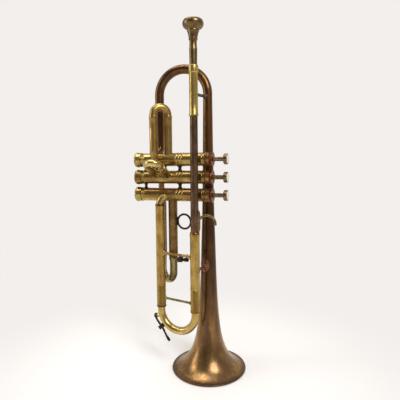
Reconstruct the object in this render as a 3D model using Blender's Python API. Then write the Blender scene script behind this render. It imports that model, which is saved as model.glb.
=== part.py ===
# Old Bb trumpet standing on its bell: bell, valve block, four slides, water key and mouthpiece.
# Lengths below are millimetres with the bell axis at X = 0, Y = 0 and the table at Z = 0;
# CENTRE moves the whole instrument so that its bounding box is centred on the origin.
import math

import bmesh
import bpy
from mathutils import Matrix, Vector

MM = 0.001
CENTRE = Vector((26.75, 6.57, 0.0))
GAP = 0.3             # solder gap between neighbouring pieces
FIT = 0.05            # radial running fit of slides and pistons

TUBE_SIDES = 12
CASE_SIDES = 14
BELL_SIDES = 18

# valve block, axes along X
VALVE_Y = -20.7
VALVE_Z = (333.4, 306.6, 279.8)
CASE_R = 10.1
CASE_BORE = 8.6
CASE_LEFT = -101.0
CASE_RIGHT = 3.0
BOTTOM_END = -111.5
CAP_TOP = 14.2
STEM_R = 3.2
BUTTON_R = 8.05
BUTTON_UNDER = 31.4
PISTON_LEFT = -70.0
PISTON_RIGHT = -4.0

# lead pipe and main slide
LEAD_X = -9.0
LEAD_Y = -39.0
LOWER_X = -68.0
LOWER_Y = -31.0
MOUTH_TOP = 528.0
RECEIVER_TOP = 466.0
RECEIVER_END = 395.0
FERRULE_TOP = 226.0
SLEEVE_TOP = 138.7
SLEEVE_END = 104.1
CROOK_START = 99.3
OUTER_R = 7.15
OUTER_BORE = 6.35
CROOK_R = 5.9
CROOK_BORE = 5.3

# bell
RIM_R = 58.3
BOW_X = -77.0
TAIL_Y = -6.5
BOW_Z = 433.0

# valve slides: (x, y) of the legs
FIRST_LEFT = (-74.3, -36.0)
FIRST_RIGHT = (-57.0, -22.0)
SECOND_X = (-75.5, -55.5)
SECOND_TILT = 25.0
THIRD_NEAR = (-50.9, -20.7)
THIRD_FAR = (-76.0, -5.6)

METALS = {
    "aged_brass": ((0.36, 0.22, 0.08), 0.34),
    "dark_brass": ((0.12, 0.06, 0.03), 0.42),
    "bright_brass": ((0.72, 0.50, 0.20), 0.22),
    "bell_brass": ((0.22, 0.12, 0.05), 0.36),
    "red_brass": ((0.30, 0.11, 0.06), 0.40),
    "bronze": ((0.20, 0.12, 0.06), 0.42),
    "nickel_silver": ((0.45, 0.42, 0.36), 0.28),
    "spring_steel": ((0.35, 0.34, 0.33), 0.30),
}
OTHERS = {
    "mother_of_pearl": ((0.80, 0.78, 0.72), 0.25),
    "cork": ((0.10, 0.07, 0.05), 0.85),
}


def clear_scene():
    """Take away everything that is already in the scene."""
    for old in list(bpy.data.objects):
        bpy.data.objects.remove(old, do_unlink=True)


def make_materials():
    """One plain material for each finish, named after it."""
    made = {}
    for table, metallic in ((METALS, 1.0), (OTHERS, 0.0)):
        for name, (colour, rough) in table.items():
            material = bpy.data.materials.new(name)
            material.use_nodes = True
            shader = material.node_tree.nodes["Principled BSDF"]
            shader.inputs["Base Color"].default_value = (*colour, 1.0)
            shader.inputs["Metallic"].default_value = metallic
            shader.inputs["Roughness"].default_value = rough
            made[name] = material
    return made


clear_scene()
FINISH = make_materials()


def finish_object(name, bm, origin, finish):
    """Turn a mesh drawn in assembly millimetres into an object with its own origin and material."""
    start = Vector(origin)
    bmesh.ops.recalc_face_normals(bm, faces=bm.faces)
    bmesh.ops.translate(bm, verts=bm.verts, vec=-start)
    bmesh.ops.scale(bm, verts=bm.verts, vec=(MM, MM, MM))
    mesh = bpy.data.meshes.new(name)
    bm.to_mesh(mesh)
    bm.free()
    for face in mesh.polygons:
        face.use_smooth = True
    mesh.set_sharp_from_angle(angle=math.radians(38))
    obj = bpy.data.objects.new(name, mesh)
    obj.location = (start + CENTRE) * MM
    bpy.context.scene.collection.objects.link(obj)
    if finish:
        own = FINISH[finish].copy()
        own.name = finish + "_" + name
        mesh.materials.append(own)
    return obj


def stations(path, guide=None):
    """Tangent and two carried normals at every point of a path; guide fixes how the facets face."""
    last = len(path) - 1
    tangents = []
    for i in range(last + 1):
        tangents.append((path[min(i + 1, last)] - path[max(i - 1, 0)]).normalized())
    if guide is None:
        guide = Vector((0, 1, 0)) if abs(tangents[0].y) < 0.8 else Vector((0, 0, 1))
    side = tangents[0].cross(guide).normalized()
    out = []
    for tangent in tangents:
        side = (side - tangent * side.dot(tangent)).normalized()
        out.append((tangent, side, tangent.cross(side)))
    return out


def add_ring(bm, centre, side, other, radius, sides):
    ring = []
    for k in range(sides):
        turn = 2 * math.pi * (k + 0.5) / sides
        ring.append(bm.verts.new(centre + (side * math.cos(turn) + other * math.sin(turn)) * radius))
    return ring


def bridge(bm, first, second):
    count = len(first)
    for k in range(count):
        n = (k + 1) % count
        bm.faces.new((first[k], first[n], second[n], second[k]))


def sweep_mesh(path, outer, bore, sides, guide=None):
    """Round bar or hollow tube drawn along a path; radii are one value or one for each point."""
    path = [Vector(p) for p in path]
    outer = outer if isinstance(outer, (list, tuple)) else [outer] * len(path)
    bm = bmesh.new()
    frame = stations(path, guide)
    shells = []
    for radii in ([outer] if bore is None else [outer, bore]):
        radii = radii if isinstance(radii, (list, tuple)) else [radii] * len(path)
        rings = []
        for point, (_, side, other), radius in zip(path, frame, radii):
            rings.append(add_ring(bm, point, side, other, radius, sides))
        for a, b in zip(rings, rings[1:]):
            bridge(bm, a, b)
        shells.append(rings)
    if bore is None:
        bm.faces.new(shells[0][0])
        bm.faces.new(list(reversed(shells[0][-1])))
    else:
        for end in (0, -1):
            bridge(bm, shells[0][end], shells[1][end])
    return bm


def sweep(name, path, outer, bore, finish, origin=None, sides=TUBE_SIDES, guide=None):
    bm = sweep_mesh(path, outer, bore, sides, guide)
    return finish_object(name, bm, origin or path[0], finish)


def lathe_mesh(profile, origin, axis, sides):
    """Turn (radius, height) points about an axis; ends at radius 0 close on it, others close up."""
    origin = Vector(origin)
    axis = Vector(axis).normalized()
    guide = Vector((0, 1, 0)) if abs(axis.y) < 0.8 else Vector((0, 0, 1))
    side = axis.cross(guide).normalized()
    other = axis.cross(side)
    bm = bmesh.new()
    rows = []
    for radius, height in profile:
        centre = origin + axis * height
        if radius == 0:
            rows.append(bm.verts.new(centre))
        else:
            rows.append(add_ring(bm, centre, side, other, radius, sides))
    pairs = list(zip(rows, rows[1:]))
    if isinstance(rows[0], list):
        pairs.append((rows[-1], rows[0]))
    for a, b in pairs:
        if isinstance(a, list) and isinstance(b, list):
            bridge(bm, a, b)
        else:
            ring, tip = (a, b) if isinstance(a, list) else (b, a)
            for k in range(sides):
                bm.faces.new((ring[k], ring[(k + 1) % sides], tip))
    return bm


def lathe(name, profile, origin, axis, finish, sides=TUBE_SIDES):
    return finish_object(name, lathe_mesh(profile, origin, axis, sides), origin, finish)


def block_mesh(centre, size, turn=None):
    bm = bmesh.new()
    bmesh.ops.create_cube(bm, size=1.0)
    bmesh.ops.scale(bm, verts=bm.verts, vec=size)
    if turn:
        bmesh.ops.transform(bm, matrix=turn, verts=bm.verts)
    bmesh.ops.translate(bm, verts=bm.verts, vec=centre)
    return bm


def combine(obj, tool_mesh, operation):
    """Join a tool shape to a piece, or cut it away, and drop the tool."""
    tool = finish_object("tool", tool_mesh, (0, 0, 0), None)
    tool.hide_render = True
    tool.display_type = "WIRE"
    step = obj.modifiers.new("shape", "BOOLEAN")
    step.operation = operation
    step.solver = "EXACT"
    step.object = tool
    bpy.context.view_layer.objects.active = obj
    bpy.ops.object.modifier_apply(modifier=step.name)
    bpy.data.objects.remove(tool, do_unlink=True)
    for face in obj.data.polygons:
        face.use_smooth = True
    obj.data.set_sharp_from_angle(angle=math.radians(38))


def trim(obj, start, end, radius, sides=24):
    """Clear a round space of the given radius between two points."""
    combine(obj, sweep_mesh([start, end], radius, None, sides), "DIFFERENCE")


def clear_of_casing(obj, index, radius=CASE_R + GAP):
    z = VALVE_Z[index]
    trim(obj, (-125, VALVE_Y, z), (30, VALVE_Y, z), radius)


def half_circle(first, second, outward, steps):
    """Points of the semicircle from one leg to the other."""
    middle = (first + second) / 2
    half = first - middle
    reach = Vector(outward).normalized() * half.length
    points = []
    for i in range(steps + 1):
        turn = math.pi * i / steps
        points.append(middle + half * math.cos(turn) + reach * math.sin(turn))
    return points


def curve_points(a, b, c, steps):
    """Quadratic curve from a to c pulled towards b."""
    a, b, c = Vector(a), Vector(b), Vector(c)
    points = []
    for i in range(steps + 1):
        t = i / steps
        points.append(a * (1 - t) ** 2 + b * 2 * t * (1 - t) + c * t * t)
    return points


def stay(name, start, end, foot, rod, finish, far_foot=None):
    """Stay between two round tubes; each end is ((x, y, z), tube radius, tube axis)."""
    (p, pr, pa), (q, qr, qa) = start, end
    p, q = Vector(p), Vector(q)
    run = (q - p).normalized()
    length = (q - p).length
    last = far_foot or foot
    a = math.sqrt(pr ** 2 - foot ** 2) - 0.2
    b = length - math.sqrt(qr ** 2 - last ** 2) + 0.2
    far = length - qr
    profile = [(0, a), (foot, a), (foot, pr + 0.9), (rod * 1.5, pr + 1.4), (rod, pr + 2.4), (rod, far - 2.4),
               (rod * 1.5, far - 1.4), (last, far - 0.9), (last, b), (0, b)]
    obj = lathe(name, profile, p, run, finish, 10)
    for point, radius, axis in ((p, pr, pa), (q, qr, qa)):
        axis = Vector(axis)
        trim(obj, point - axis * 20, point + axis * 20, radius + GAP)
    return obj


# ---------------------------------------------------------------- bell, bow and tail
UP = Vector((0, 0, 1))
bell_line = []
bell_radius = []
for height, radius in ((1.4, 57.9), (3.0, 53.6), (6.5, 47.3), (12.0, 40.4), (20.0, 34.0), (30.0, 28.4),
                       (43.0, 23.6), (60.0, 19.6), (80.0, 17.0), (110.0, 14.6), (150.0, 12.7),
                       (205.0, 11.0), (262.0, 9.3), (355.0, 7.9), (BOW_Z - 2.0, 7.0)):
    bell_line.append(Vector((0, 0, height)))
    bell_radius.append(radius)
for point in half_circle(Vector((0, 0, BOW_Z)), Vector((BOW_X, TAIL_Y, BOW_Z)), UP, 8):
    bell_line.append(point)
    bell_radius.append(7.0)
for point in ((BOW_X, TAIL_Y, 395.0), (BOW_X, TAIL_Y, 356.0), (BOW_X, TAIL_Y - 1.5, 347.0),
              (BOW_X, TAIL_Y - 7.5, 336.0)):
    bell_line.append(Vector(point))
    bell_radius.append(6.4)


def make_bell():
    """Flare with a turned rim bead, long stem, bow and tail in one wall of even thickness."""
    bm = bmesh.new()
    frame = stations(bell_line)
    outside = []
    inside = []
    side = Vector((1, 0, 0))
    for i, point in enumerate(bell_line):
        tangent = frame[i][0]
        side = (side - tangent * side.dot(tangent)).normalized()
        other = tangent.cross(side)
        outside.append(add_ring(bm, point, side, other, bell_radius[i], BELL_SIDES))
        wall = 0.9 if i < 5 else 0.8
        lift = Vector((0, 0, -0.5)) if i < 6 else Vector((0, 0, 0))
        inside.append(add_ring(bm, point + lift, side, other, bell_radius[i] - wall, BELL_SIDES))
    for rings in (outside, inside):
        for a, b in zip(rings, rings[1:]):
            bridge(bm, a, b)
    bridge(bm, outside[-1], inside[-1])
    side = Vector((1, 0, 0))
    other = frame[0][0].cross(side)
    rows = [outside[0]]
    for radius, height in ((RIM_R, 2.6), (RIM_R + 0.6, 1.6), (RIM_R + 0.1, 0.3), (RIM_R - 0.5, 0.0),
                           (RIM_R - 2.3, 0.0), (RIM_R - 2.8, 0.3)):
        rows.append(add_ring(bm, Vector((0, 0, height)), side, other, radius, BELL_SIDES))
    rows.append(inside[0])
    for a, b in zip(rows, rows[1:]):
        bridge(bm, a, b)
    obj = finish_object("bell", bm, (0, 0, 0), "bell_brass")
    clear_of_casing(obj, 0)
    return obj


make_bell()


# ---------------------------------------------------------------- mouthpiece, receiver, lead pipe
lead = (LEAD_X, LEAD_Y, 0.0)
mouth_profile = [
    (4.9, 444.0), (5.7, 466.0), (5.8, 500.0), (6.5, 500.8), (6.5, 502.6), (6.2, 503.2), (7.9, 511.6),
    (8.6, 512.0), (8.6, 513.6), (8.2, 514.6), (11.4, 517.6), (14.6, 520.4), (15.1, 523.0), (14.4, 526.2),
    (12.8, MOUTH_TOP), (10.4, MOUTH_TOP), (8.4, 526.0), (6.6, 515.0), (2.0, 507.0), (3.9, 444.0)]
lathe("mouthpiece", mouth_profile, lead, (0, 0, 1), "bronze", 16)
receiver_profile = [
    (5.85, RECEIVER_END), (6.9, RECEIVER_END), (6.9, 398.4), (6.2, 399.2), (6.2, 455.0), (7.1, 456.0),
    (7.1, RECEIVER_TOP), (6.0, RECEIVER_TOP), (5.2, 443.0), (4.6, 442.5), (4.6, 432.0), (5.85, 431.6)]
lathe("receiver", receiver_profile, lead, (0, 0, 1), "aged_brass")
sweep("leadpipe", [(LEAD_X, LEAD_Y, 431.0), (LEAD_X, LEAD_Y, 320.0), (LEAD_X, LEAD_Y, 214.0)],
      [5.5, 5.8, 6.05], [4.6, 4.9, 5.2], "dark_brass")
upper_profile = [
    (OUTER_BORE, 139.0), (7.4, 139.0), (7.4, 141.5), (OUTER_R, 142.0), (OUTER_R, 218.5), (7.4, 219.0),
    (7.4, 224.2), (6.9, FERRULE_TOP), (OUTER_BORE, FERRULE_TOP)]
lathe("slide_tube_upper", upper_profile, lead, (0, 0, 1), "aged_brass")
lower = (LOWER_X, LOWER_Y, 0.0)
lower_profile = [
    (OUTER_BORE, 139.0), (7.4, 139.0), (7.4, 141.5), (OUTER_R, 142.0), (OUTER_R, 261.0), (7.4, 261.5),
    (7.4, 266.0), (OUTER_BORE, 266.0)]
lathe("slide_tube_lower", lower_profile, lower, (0, 0, 1), "aged_brass")

elbow_path = [Vector((LOWER_X, LOWER_Y, 250.0)), Vector((LOWER_X, LOWER_Y, 260.0))]
elbow_path += curve_points((LOWER_X, LOWER_Y, 266.3), (-67.5, -31.4, 274.3), (-58.0, -24.0, 278.5), 4)
elbow = sweep("lower_elbow", elbow_path, CROOK_R, CROOK_BORE, "bright_brass")
clear_of_casing(elbow, 2)


# ---------------------------------------------------------------- main tuning slide
leg_profile = [
    (5.7, SLEEVE_END), (7.5, SLEEVE_END), (7.5, SLEEVE_END + 3), (OUTER_R, SLEEVE_END + 3.5),
    (OUTER_R, SLEEVE_TOP), (OUTER_BORE - FIT, SLEEVE_TOP + 0.3), (OUTER_BORE - FIT, 207.0), (5.7, 207.0)]
lathe("tuning_leg_upper", leg_profile, lead, (0, 0, 1), "aged_brass")
lathe("tuning_leg_lower", leg_profile, lower, (0, 0, 1), "aged_brass")
left_leg = Vector((LOWER_X, LOWER_Y, CROOK_START))
right_leg = Vector((LEAD_X, LEAD_Y, CROOK_START))
crook_path = [left_leg + UP * (SLEEVE_END - GAP - CROOK_START)]
crook_path += half_circle(left_leg, right_leg, -UP, 9)
crook_path.append(right_leg + UP * (SLEEVE_END - GAP - CROOK_START))
crook = sweep("tuning_crook", crook_path, CROOK_R, CROOK_BORE, "bright_brass")

middle = (left_leg + right_leg) / 2
along = (right_leg - left_leg).normalized()
normal = along.cross(UP)
bend = (right_leg - left_leg).length / 2


def on_crook(degrees, radius, offset=0.0):
    """Point in the plane of the crook, by angle about its bend centre."""
    turn = math.radians(degrees)
    return middle + along * (radius * math.cos(turn)) + UP * (radius * math.sin(turn)) + normal * offset


nipple_turn = 197.0
combine(crook, sweep_mesh([on_crook(nipple_turn, bend + 4.6), on_crook(nipple_turn, bend + 8.2)],
                          3.2, None, 10), "UNION")
combine(crook, sweep_mesh([on_crook(nipple_turn, bend + 1.0), on_crook(nipple_turn, bend + 10.0)],
                          1.6, None, 8), "DIFFERENCE")

straight = (0, 0, 1)
stay("tuning_brace", ((LOWER_X, LOWER_Y, 118.5), OUTER_R, straight),
     ((LEAD_X, LEAD_Y, 116.5), OUTER_R, straight), 3.2, 1.8, "dark_brass")
stay("outer_brace", ((LOWER_X, LOWER_Y, 190.0), OUTER_R, straight),
     ((LEAD_X, LEAD_Y, 188.0), OUTER_R, straight), 4.8, 2.1, "aged_brass")


# ---------------------------------------------------------------- lyre holder under the outer brace
brace_y = LOWER_Y + (LEAD_Y - LOWER_Y) * 0.5
socket_x = -34.0
socket_z = 182.2
screw_x = socket_x + 4.0
socket = finish_object("lyre_socket", block_mesh((socket_x, brace_y, socket_z), (8.0, 8.0, 7.2)),
                       (socket_x, brace_y, socket_z), "dark_brass")
combine(socket, block_mesh((socket_x, brace_y, socket_z), (3.2, 5.0, 9.0)), "DIFFERENCE")
combine(socket, sweep_mesh([(socket_x + 1.0, brace_y, socket_z), (socket_x + 6.0, brace_y, socket_z)],
                           1.5, None, 8), "DIFFERENCE")
screw_profile = [(0, -2.2), (1.2, -2.2), (1.2, 1.4), (2.4, 1.8), (2.9, 2.6), (2.9, 8.6), (2.2, 9.5), (0, 9.5)]
lathe("lyre_screw", screw_profile, (screw_x, brace_y, socket_z), (1, 0, 0), "dark_brass", 10)


# ---------------------------------------------------------------- water key on the crook
pivot_turn = 223.3
pivot = on_crook(pivot_turn, bend + 11.4)
barrel = finish_object("water_key", sweep_mesh([pivot - normal * 5, pivot + normal * 5], 2.1, None, 12),
                       pivot, "dark_brass")
arm_path = [on_crook(nipple_turn - 1.5, bend + 13.8), on_crook(nipple_turn + 8, bend + 13.6),
            pivot, on_crook(237, bend + 15.4), on_crook(247, bend + 19.8), on_crook(252, bend + 22.6)]
combine(barrel, sweep_mesh(arm_path, [1.3, 1.6, 1.9, 1.7, 2.3, 1.2], None, 8), "UNION")
cup_low = on_crook(nipple_turn, bend + 12.2)
cup_high = on_crook(nipple_turn, bend + 14.2)
combine(barrel, sweep_mesh([cup_low, cup_high], [4.0, 3.2], None, 10), "UNION")
combine(barrel, sweep_mesh([pivot - normal * 8, pivot + normal * 8], 1.1, None, 10), "DIFFERENCE")
sweep("water_key_cork", [on_crook(nipple_turn, bend + 8.5), on_crook(nipple_turn, bend + 11.9)],
      3.3, None, "cork", pivot, 10)
pin_path = [pivot - normal * 8.2, pivot - normal * 7.2, pivot - normal * 7.1, pivot + normal * 7.6]
sweep("water_key_pin", pin_path, [1.7, 1.7, 0.8, 0.8], None, "spring_steel", None, 10)
radial = (pivot - middle).normalized()
tilt = Matrix((normal.cross(radial), normal, radial)).transposed().to_4x4()
saddle = finish_object("water_key_saddle",
                       block_mesh(on_crook(pivot_turn, bend + 9.2), (6.0, 13.6, 8.4), tilt),
                       on_crook(pivot_turn, bend + 6.2), "dark_brass")
combine(saddle, block_mesh(on_crook(pivot_turn, bend + 13.2), (14.0, 10.6, 10.4), tilt), "DIFFERENCE")
saddle_cut = sweep_mesh(crook_path, CROOK_R + GAP, None, 16)
combine(saddle, saddle_cut, "DIFFERENCE")
combine(saddle, sweep_mesh([pivot - normal * 10, pivot + normal * 10], 1.1, None, 10), "DIFFERENCE")
wire = []
for i in range(17):
    turn = math.radians(pivot_turn + 180 + 45 * i)
    around = along * math.cos(turn) + UP * math.sin(turn)
    wire.append(pivot + around * 2.7 + normal * (2.9 + 1.3 * i / 16))
sweep("water_key_spring", wire, 0.35, None, "spring_steel", pivot, 5)


# ---------------------------------------------------------------- valve block
def valve(index):
    """Casing, caps, piston, button, pearl and spring of one valve."""
    tag = str(index + 1)
    base = (0.0, VALVE_Y, VALVE_Z[index])
    way = (1, 0, 0)
    casing = [
        (CASE_BORE, CASE_LEFT - 4), (9.3, CASE_LEFT - 4), (9.3, CASE_LEFT), (CASE_R, CASE_LEFT + 0.3),
        (CASE_R, -42.8), (10.6, -41.8), (CASE_R, -40.8), (CASE_R, -33.2), (10.6, -32.2), (CASE_R, -31.2),
        (CASE_R, CASE_RIGHT - 0.3), (9.3, CASE_RIGHT), (9.3, CASE_RIGHT + 4), (CASE_BORE, CASE_RIGHT + 4)]
    lathe("casing_" + tag, casing, base, way, "aged_brass", CASE_SIDES)
    bottom = [
        (9.65, CASE_LEFT - 0.3), (10.9, CASE_LEFT - 0.3), (11.0, CASE_LEFT - 5), (11.6, CASE_LEFT - 7),
        (11.6, CASE_LEFT - 9.4), (10.4, BOTTOM_END), (1.6, BOTTOM_END), (1.6, BOTTOM_END + 2),
        (9.65, BOTTOM_END + 2.6)]
    lathe("bottom_cap_" + tag, bottom, base, way, "aged_brass", CASE_SIDES)
    top = [
        (9.65, CASE_RIGHT + 0.3), (10.7, CASE_RIGHT + 0.3), (10.7, CAP_TOP - 3.4), (11.6, CAP_TOP - 2.6),
        (11.6, CAP_TOP - 0.6), (10.8, CAP_TOP), (STEM_R + GAP, CAP_TOP - 0.3),
        (STEM_R + GAP, CAP_TOP - 3), (9.65, CAP_TOP - 4)]
    lathe("top_cap_" + tag, top, base, way, "red_brass", CASE_SIDES)
    piston_r = CASE_BORE - FIT
    piston = [
        (2.5, PISTON_LEFT), (piston_r, PISTON_LEFT), (piston_r, PISTON_RIGHT), (1.6, PISTON_RIGHT),
        (1.6, PISTON_RIGHT - 3), (7.2, PISTON_RIGHT - 3), (7.2, PISTON_LEFT + 3), (2.5, PISTON_LEFT + 3)]
    lathe("piston_" + tag, piston, base, way, "nickel_silver", CASE_SIDES)
    button = [
        (0, -3.7), (5.0, -3.7), (5.0, -1.2), (STEM_R, -0.7), (STEM_R, 30.6), (4.2, 31.0),
        (7.5, BUTTON_UNDER), (BUTTON_R, 32.0), (BUTTON_R, 36.3), (7.6, 36.8), (6.9, 36.8), (6.9, 35.4),
        (0, 35.4)]
    lathe("button_" + tag, button, base, way, "aged_brass")
    lathe("pearl_" + tag, [(0, 35.7), (6.6, 35.7), (6.6, 36.9), (4.6, 37.7), (0, 38.0)], base, way,
          "mother_of_pearl")
    coil = []
    for i in range(37):
        turn = math.radians(60 * i)
        x = BOTTOM_END + 3.4 + (PISTON_LEFT - 0.9 - BOTTOM_END - 3.4) * i / 36
        coil.append(Vector((x, VALVE_Y + 6.0 * math.cos(turn), VALVE_Z[index] + 6.0 * math.sin(turn))))
    sweep("valve_spring_" + tag, coil, 0.5, None, "spring_steel", base, 4)


for number in range(3):
    valve(number)

for tag, upper_index, x, radius in (("post_12_left", 0, -96.0, 2.3), ("post_12_right", 0, -38.5, 2.6),
                                    ("post_23_left", 1, -96.0, 2.3), ("post_23_right", 1, -38.5, 2.6)):
    top_z, low_z = VALVE_Z[upper_index], VALVE_Z[upper_index + 1]
    middle_z = (top_z + low_z) / 2
    post = lathe(tag, [(0, -5.0), (radius + 0.9, -5.0), (radius + 0.9, -2.6), (radius, -1.8), (radius, 1.8),
                       (radius + 0.9, 2.6), (radius + 0.9, 5.0), (0, 5.0)],
                 (x, VALVE_Y, middle_z), (0, 0, 1), "dark_brass", 10)
    clear_of_casing(post, upper_index)
    clear_of_casing(post, upper_index + 1)

for tag, upper_index, x, radius in (("knuckle_12", 0, -66.0, 5.2), ("knuckle_23", 1, -69.7, 4.5)):
    top_z, low_z = VALVE_Z[upper_index], VALVE_Z[upper_index + 1]
    tube = sweep(tag, [(x, VALVE_Y, low_z + 5), (x, VALVE_Y, top_z - 5)], radius, radius - 0.6, "aged_brass",
                 (x, VALVE_Y, (top_z + low_z) / 2))
    clear_of_casing(tube, upper_index)
    clear_of_casing(tube, upper_index + 1)


# ---------------------------------------------------------------- first valve slide
across = Vector((*FIRST_RIGHT, 0)) - Vector((*FIRST_LEFT, 0))
x, y = FIRST_LEFT
path = [Vector((x, y, 394.0)), Vector((x, y, 348.0))]
path += curve_points((x, y, 342.0), (x, y, 332.5), (x, y + 10.0, 332.5), 3)
left_tube = sweep("first_tube_left", path, 6.4, 5.75, "aged_brass", guide=across)
clear_of_casing(left_tube, 0)
x, y = FIRST_RIGHT
right_tube = sweep("first_tube_right", [(x, y, 394.0), (x, y, 338.0)], 6.4, 5.75, "aged_brass",
                   guide=across)
clear_of_casing(right_tube, 0)


def slide(name, first, second, outward, reach, finish, inner, sleeve, crook_radius, bore):
    """U slide: two inner legs, a collar on each and a crook; reach = (leg, collar, bend start)."""
    first, second, way = Vector(first), Vector(second), Vector(outward).normalized()
    leg, collar, start = reach
    steps = ((leg, inner), (collar, inner), (collar + 0.4, sleeve), (collar + 5.4, sleeve))
    path = []
    radii = []
    for distance, radius in steps:
        path.append(first + way * distance)
        radii.append(radius)
    turn = half_circle(first + way * start, second + way * start, way, 6)
    path += turn
    radii += [crook_radius] * len(turn)
    for distance, radius in reversed(steps):
        path.append(second + way * distance)
        radii.append(radius)
    return sweep(name, path, radii, bore, finish, first, guide=second - first)


slide("first_slide", (*FIRST_LEFT, 0), (*FIRST_RIGHT, 0), (0, 0, 1), (352.0, 394.3, 401.0),
      "aged_brass", 5.7, 6.6, 5.9, 5.1)


# ---------------------------------------------------------------- second valve slide
tilt_way = Vector((0, -math.cos(math.radians(SECOND_TILT)), math.sin(math.radians(SECOND_TILT))))
second_base = []
for tag, x in (("second_tube_left", SECOND_X[0]), ("second_tube_right", SECOND_X[1])):
    root = Vector((x, VALVE_Y, VALVE_Z[1]))
    second_base.append(root)
    tube = sweep(tag, [root + tilt_way * 30, root + tilt_way * 6], 5.6, 4.95, "aged_brass",
                 guide=Vector((1, 0, 0)))
    clear_of_casing(tube, 1)
slide("second_slide", second_base[0], second_base[1], tilt_way, (14.0, 30.3, 41.0), "bright_brass",
      4.9, 5.8, 5.2, 4.3)


# ---------------------------------------------------------------- third valve slide and finger ring
across = Vector((*THIRD_FAR, 0)) - Vector((*THIRD_NEAR, 0))
x, y = THIRD_NEAR
near_tube = sweep("third_tube_near", [(x, y, 183.0), (x, y, 275.0)], 7.0, 6.25, "aged_brass", guide=across)
clear_of_casing(near_tube, 2)
x, y = THIRD_FAR
path = [Vector((x, y, 183.0)), Vector((x, y, 252.0))]
path += curve_points((x, y, 260.0), (x, y + 2.0, 279.0), (x, y - 9.0, 281.0), 3)
far_tube = sweep("third_tube_far", path, 7.0, 6.25, "aged_brass", guide=across)
clear_of_casing(far_tube, 2)
slide("third_slide", (*THIRD_NEAR, 0), (*THIRD_FAR, 0), (0, 0, -1), (-238.0, -182.7, -158.0),
      "aged_brass", 6.2, 6.9, 6.0, 5.6)

ring_turn = Matrix.Rotation(math.radians(-7.0), 4, "Z")
ring_way = ring_turn @ Vector((1, 0, 0))
ring_base = Vector((*THIRD_NEAR, 238.8))
ring_middle = ring_base + ring_way * 19.7
ring_bm = bmesh.new()
ring_rows = []
for i in range(16):
    turn = 2 * math.pi * i / 16
    out = ring_way * math.cos(turn) + UP * math.sin(turn)
    ring_rows.append(add_ring(ring_bm, ring_middle + out * 11.1, out, ring_way.cross(UP), 1.6, 8))
for i in range(16):
    bridge(ring_bm, ring_rows[i], ring_rows[(i + 1) % 16])
ring = finish_object("finger_ring", ring_bm, ring_middle, "dark_brass")
combine(ring, block_mesh(ring_base + ring_way * 6.3, (5.0, 6.0, 13.0), ring_turn), "UNION")
trim(ring, (*THIRD_NEAR, 220), (*THIRD_NEAR, 260), 7.0 + GAP)


# ---------------------------------------------------------------- stays between bell, lead pipe and block
stay("bell_brace_upper", ((LEAD_X, LEAD_Y, 426.0), 6.2, straight), ((0, 0, 428.0), 7.15, straight),
     3.6, 2.2, "dark_brass")
stay("bell_brace_lower", ((LEAD_X, LEAD_Y, 165.0), OUTER_R, straight), ((0, 0, 170.5), 12.5, straight),
     4.6, 2.0, "dark_brass", 8.0)
pad = lathe("leadpipe_brace", [(0, -8.0), (5.2, -8.0), (5.2, 8.0), (0, 8.0)], (LEAD_X, -32.0, VALVE_Z[1]),
            (0, 1, 0), "dark_brass", 10)
trim(pad, (LEAD_X, LEAD_Y, 290), (LEAD_X, LEAD_Y, 324), 5.85 + GAP)
clear_of_casing(pad, 1)

hook_path = [(LEAD_X + 5.0, LEAD_Y, 243.0), (LEAD_X + 8.5, LEAD_Y, 246.5), (LEAD_X + 13.0, LEAD_Y, 250.0),
             (LEAD_X + 20.0, LEAD_Y, 251.4), (LEAD_X + 26.5, LEAD_Y, 249.6), (LEAD_X + 31.0, LEAD_Y, 244.4),
             (LEAD_X + 32.6, LEAD_Y, 237.4)]
hook = sweep("pinky_hook", hook_path, [2.0, 2.0, 2.0, 2.0, 2.0, 1.9, 1.3], None, "aged_brass", None, 8)
foot_path = [(LEAD_X + 6.2, LEAD_Y, 226.6), (LEAD_X + 6.2, LEAD_Y, 232.0), (LEAD_X + 6.2, LEAD_Y, 252.0),
             (LEAD_X + 6.2, LEAD_Y, 258.6)]
combine(hook, sweep_mesh(foot_path, [1.2, 2.6, 2.6, 1.2], None, 8), "UNION")
trim(hook, (LEAD_X, LEAD_Y, 215), (LEAD_X, LEAD_Y, 270), 6.0 + GAP)
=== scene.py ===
# Old trumpet standing on its bell. Lengths are millimetres until they meet Blender, Z is up,
# and the heights count from the table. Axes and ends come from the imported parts' boxes.
import math

import bpy
from mathutils import Matrix, Vector


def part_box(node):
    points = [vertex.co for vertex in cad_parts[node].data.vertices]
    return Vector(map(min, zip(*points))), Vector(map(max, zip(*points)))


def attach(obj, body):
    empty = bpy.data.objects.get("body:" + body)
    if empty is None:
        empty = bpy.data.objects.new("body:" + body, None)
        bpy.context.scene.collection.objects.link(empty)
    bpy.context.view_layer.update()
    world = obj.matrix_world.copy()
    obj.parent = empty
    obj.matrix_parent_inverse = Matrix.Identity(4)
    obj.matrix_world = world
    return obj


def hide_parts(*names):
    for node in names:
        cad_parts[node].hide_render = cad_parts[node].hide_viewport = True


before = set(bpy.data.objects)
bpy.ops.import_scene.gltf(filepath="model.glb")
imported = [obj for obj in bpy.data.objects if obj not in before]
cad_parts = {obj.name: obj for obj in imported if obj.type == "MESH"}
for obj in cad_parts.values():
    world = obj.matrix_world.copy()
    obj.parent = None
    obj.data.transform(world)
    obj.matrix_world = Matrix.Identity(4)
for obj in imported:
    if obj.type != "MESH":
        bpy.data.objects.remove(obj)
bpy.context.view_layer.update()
print("frame loaded:", len(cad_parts), "nodes")

mm = 0.001
up = Vector((0, 0, 1))
valveWay = Vector((1, 0, 0))                              # the pistons lie along X


def middleOf(node):                                       # middle of a part's box, in millimetres
    low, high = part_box(node)
    return (Vector(low) + Vector(high)) / 2 / mm


def lowOf(node):
    return Vector(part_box(node)[0]) / mm


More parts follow.
